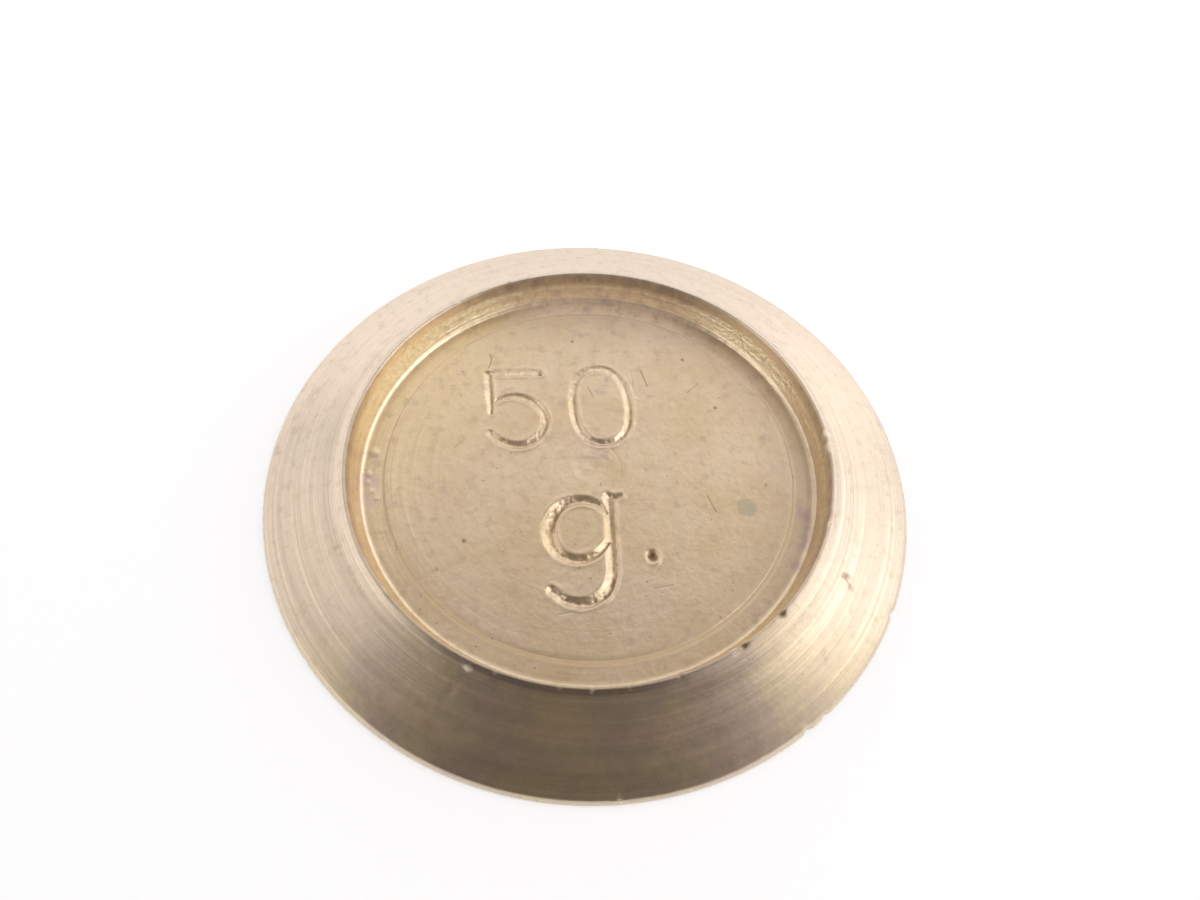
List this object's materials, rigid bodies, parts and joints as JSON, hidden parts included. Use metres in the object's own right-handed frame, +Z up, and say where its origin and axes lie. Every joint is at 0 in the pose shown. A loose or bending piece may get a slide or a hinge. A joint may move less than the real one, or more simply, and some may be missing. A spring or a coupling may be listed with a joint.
{
  "type": "flat nesting balance weight",
  "caption": "Flat turned brass balance weight, a low truncated cone with a shallow stacking recess and a stamped value.",
  "frame": {"origin": "centre of the underside, on the turning axis", "axes": "+Z up along the turning axis, out of the recess; +X along the stamped line of text, from left to right"},
  "size_m": [0.062, 0.062, 0.0044],
  "materials": {
    "turned_brass": "turned and handled, dull warm tan with brown tarnish, brighter on the worn edges",
    "lead": "hammered lead, dull blue-grey"
  },
  "bodies": {
    "root": {"weight_body": "turned_brass", "adjusting_plug": "lead"}
  },
  "joints": []
}
